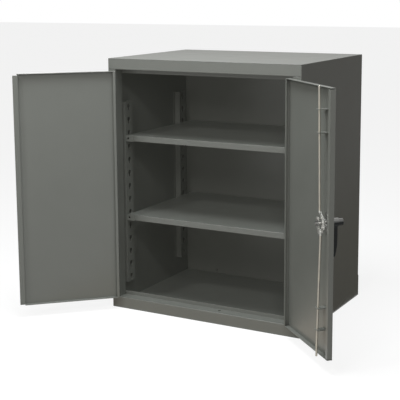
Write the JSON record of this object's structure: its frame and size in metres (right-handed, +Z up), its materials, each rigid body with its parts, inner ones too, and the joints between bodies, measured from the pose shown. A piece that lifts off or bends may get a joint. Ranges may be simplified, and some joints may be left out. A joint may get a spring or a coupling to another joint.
{
  "type": "steel storage cabinet",
  "caption": "Steel tool cabinet with hinged doors, lift-out shelves hooked on keyhole posts, and a lever handle that drives lock rods into the frame.",
  "frame": {"origin": "centre of the base's underside, on the floor, halfway between the side panels and between the front frame and the back panel", "axes": "+Z up, +X to the right of someone who faces the doors, and the doors face -Y; the doors stand open at rest"},
  "size_m": [1.4497, 1.0137, 1.118],
  "materials": {
    "grey_paint": "semi-gloss powder coat, medium grey",
    "clip_paint": "semi-gloss powder coat, a little darker",
    "plain_steel": "turned steel",
    "zinc": "bright zinc plate",
    "yellow_zinc": "yellow zinc plate",
    "dark_chrome": "black chrome casting",
    "brass": "worn nickelled brass"
  },
  "bodies": {
    "cabinet": {"side_left": "grey_paint", "side_right": "grey_paint", "top_panel": "grey_paint", "back_panel": "grey_paint", "rear_base_plate": "grey_paint", "rear_screws": "zinc", "floor_panel": "grey_paint", "base_runners": "grey_paint", "header": "grey_paint", "header_stop": "grey_paint", "sill": "grey_paint", "sill_stop": "grey_paint", "stile_left": "grey_paint", "stile_right": "grey_paint", "post_front_left": "grey_paint", "post_front_right": "grey_paint", "post_rear_left": "grey_paint", "post_rear_right": "grey_paint", "shelf_clips_upper": "clip_paint", "shelf_clips_lower": "clip_paint", "hinge_frame_leaves_left": "grey_paint", "hinge_frame_leaves_right": "grey_paint", "hinge_pins_left": "plain_steel", "hinge_pins_right": "plain_steel"},
    "shelf_upper": {"shelf_upper": "grey_paint"},
    "shelf_lower": {"shelf_lower": "grey_paint"},
    "door_left": {"door_left": "grey_paint", "door_left_meeting_strip": "grey_paint", "hinge_door_leaves_left": "grey_paint"},
    "door_right": {"door_right": "grey_paint", "hinge_door_leaves_right": "grey_paint", "lock_plate": "zinc", "lock_escutcheon": "dark_chrome", "lock_screws": "zinc", "rod_guide_upper": "grey_paint", "rod_guide_lower": "grey_paint"},
    "handle": {"handle": "dark_chrome", "lock_spindle": "plain_steel", "lock_cam": "zinc", "cam_pins": "zinc", "spindle_nut": "zinc"},
    "key_plug": {"key_plug": "brass"},
    "rod_upper": {"rod_upper": "yellow_zinc"},
    "rod_lower": {"rod_lower": "yellow_zinc"}
  },
  "joints": [
    {"name": "left_door_hinge", "type": "hinge", "parent": "cabinet", "child": "door_left", "pos_m": [-0.42025, -0.345, 0.5675], "axis": [0, 0, -1], "range_deg": [-136, 40]},
    {"name": "right_door_hinge", "type": "hinge", "parent": "cabinet", "child": "door_right", "pos_m": [0.42025, -0.345, 0.5675], "axis": [0, 0, 1], "range_deg": [-137, 39]},
    {"name": "handle_turn", "type": "hinge", "parent": "door_right", "child": "handle", "pos_m": [0.68707, -0.60543, 0.567], "axis": [-0.682, -0.7314, 0], "range_deg": [0, 90]},
    {"name": "key_turn", "type": "hinge", "parent": "handle", "child": "key_plug", "pos_m": [0.71776, -0.57252, 0.567], "axis": [0.682, 0.7314, 0], "range_deg": [0, 90]},
    {"name": "upper_rod_slide", "type": "slide", "parent": "door_right", "child": "rod_upper", "axis": [-0.0252, 0.0235, 0.9994], "range_m": [0, 0.02566]},
    {"name": "lower_rod_slide", "type": "slide", "parent": "door_right", "child": "rod_lower", "axis": [-0.0379, 0.0354, -0.9987], "range_m": [0, 0.02566]},
    {"name": "upper_shelf_lift", "type": "slide", "parent": "cabinet", "child": "shelf_upper", "axis": [0, 0, 1], "range_m": [0, 0.05]},
    {"name": "lower_shelf_lift", "type": "slide", "parent": "cabinet", "child": "shelf_lower", "axis": [0, 0, 1], "range_m": [0, 0.05]}
  ],
  "couplings": [
    {"joint": "upper_rod_slide", "follows": "handle_turn", "m_per_rad": 0.016206},
    {"joint": "lower_rod_slide", "follows": "handle_turn", "m_per_rad": 0.016206}
  ]
}
